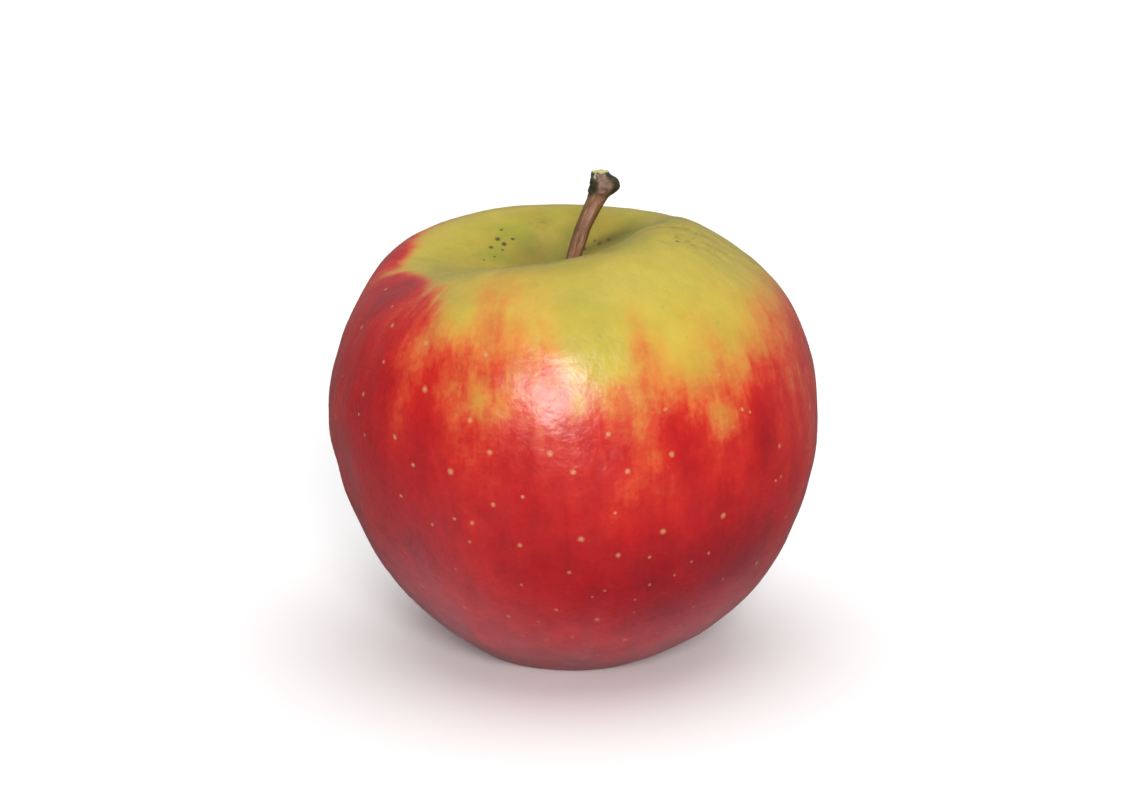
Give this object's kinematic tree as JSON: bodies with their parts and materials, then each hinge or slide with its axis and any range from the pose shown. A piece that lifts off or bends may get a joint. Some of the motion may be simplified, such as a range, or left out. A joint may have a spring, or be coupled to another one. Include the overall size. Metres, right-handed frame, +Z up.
{
  "type": "apple",
  "caption": "Ripe bicolour apple, red over yellow-green, standing on its calyx end, with a deep stem cavity, a leaning woody stem with a knobbed end, and a dried calyx.",
  "frame": {"origin": "the bottom centre of the bounding box, on the plane that the apple rests on, just under the eye of the calyx", "axes": "+Z up from the calyx end to the stem end, +X to the apple's right and the way the stem leans, -Y towards the front"},
  "size_m": [0.0748, 0.0744, 0.0747],
  "materials": {
    "skin": "satin",
    "stem": "matte",
    "sepal": "matte",
    "stamen": "matte"
  },
  "bodies": {
    "root": {"fruit": "skin", "stem": "stem", "sepal_1": "sepal", "sepal_2": "sepal", "sepal_3": "sepal", "sepal_4": "sepal", "sepal_5": "sepal", "stamen_tuft": "stamen"}
  },
  "joints": []
}
